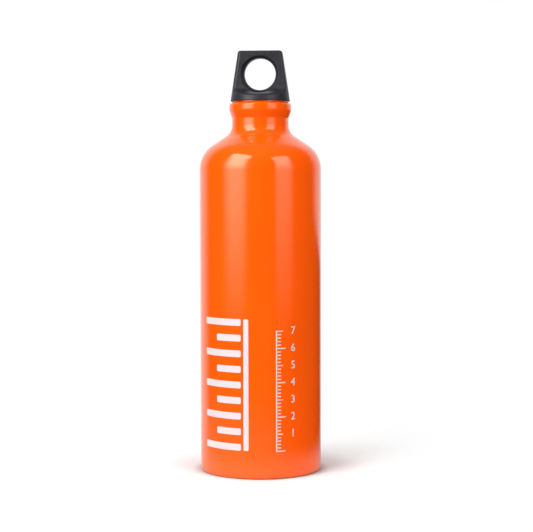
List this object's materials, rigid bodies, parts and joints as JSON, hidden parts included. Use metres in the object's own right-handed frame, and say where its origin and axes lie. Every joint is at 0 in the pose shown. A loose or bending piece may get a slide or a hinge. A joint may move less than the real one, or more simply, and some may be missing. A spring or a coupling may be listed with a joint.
{
  "type": "camping fuel bottle",
  "caption": "Slim aluminium fuel bottle for a camping stove, with a domed base, a beaded neck and a vented screw stopper whose loop is for carrying.",
  "frame": {"origin": "centre of the standing ring, in the plane that the bottle stands on", "axes": "+Z along the bottle's axis, from the base to the stopper; +Y along the axis of the loop's hole, from the front to the back, so that the front faces -Y; X across the loop"},
  "size_m": [0.0724, 0.0724, 0.2504],
  "materials": {
    "orange_enamel_aluminium": "glossy orange enamel over thin drawn aluminium",
    "bare_aluminium": "turned aluminium, bare",
    "fuel_proof_rubber": "smooth fuel-proof rubber",
    "grey_moulding": "dark grey moulded nylon",
    "black_moulding": "black moulded nylon with a satin skin"
  },
  "bodies": {
    "bottle": {"bottle_shell": "orange_enamel_aluminium", "neck_thread_ring": "bare_aluminium"},
    "seal": {"seal_ring": "fuel_proof_rubber"},
    "stopper": {"stopper_handle": "black_moulding", "stopper_plug": "grey_moulding"}
  },
  "joints": [
    {"name": "stopper_lift", "type": "slide", "parent": "bottle", "child": "seal", "axis": [0, 0, 1], "range_m": [0, 0.0181]},
    {"name": "stopper_turn", "type": "hinge", "parent": "seal", "child": "stopper", "pos_m": [0, 0, 0.22123], "axis": [0, 0, 1], "range_deg": [0, 2160]}
  ],
  "couplings": [
    {"joint": "stopper_lift", "follows": "stopper_turn", "m_per_rad": 0.00047746}
  ]
}
